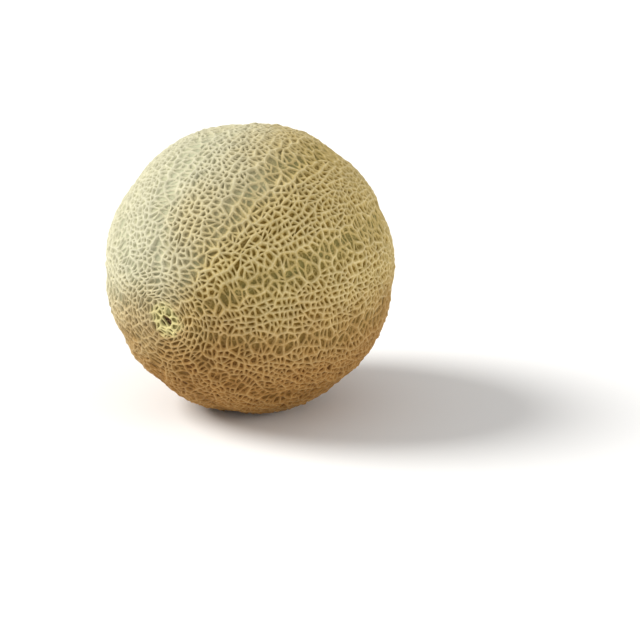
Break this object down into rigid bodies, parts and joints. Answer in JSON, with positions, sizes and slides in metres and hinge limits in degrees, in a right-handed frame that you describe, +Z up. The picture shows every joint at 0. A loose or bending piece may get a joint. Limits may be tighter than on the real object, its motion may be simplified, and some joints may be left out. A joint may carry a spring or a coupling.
{
  "type": "melon",
  "caption": "Whole round netted melon lying on its side, with a raised corky net, shallow sutures from end to end and a stem scar.",
  "frame": {"origin": "middle of the melon's footprint, level with the flat spot that it rests on", "axes": "+Z up; the stem end points to the front (-Y) and left (-X) and dips a little below level"},
  "size_m": [0.1482, 0.1498, 0.1468],
  "materials": {
    "rind": "matte corky net over dull green-tan skin"
  },
  "bodies": {
    "root": {"melon": "rind"}
  },
  "joints": []
}
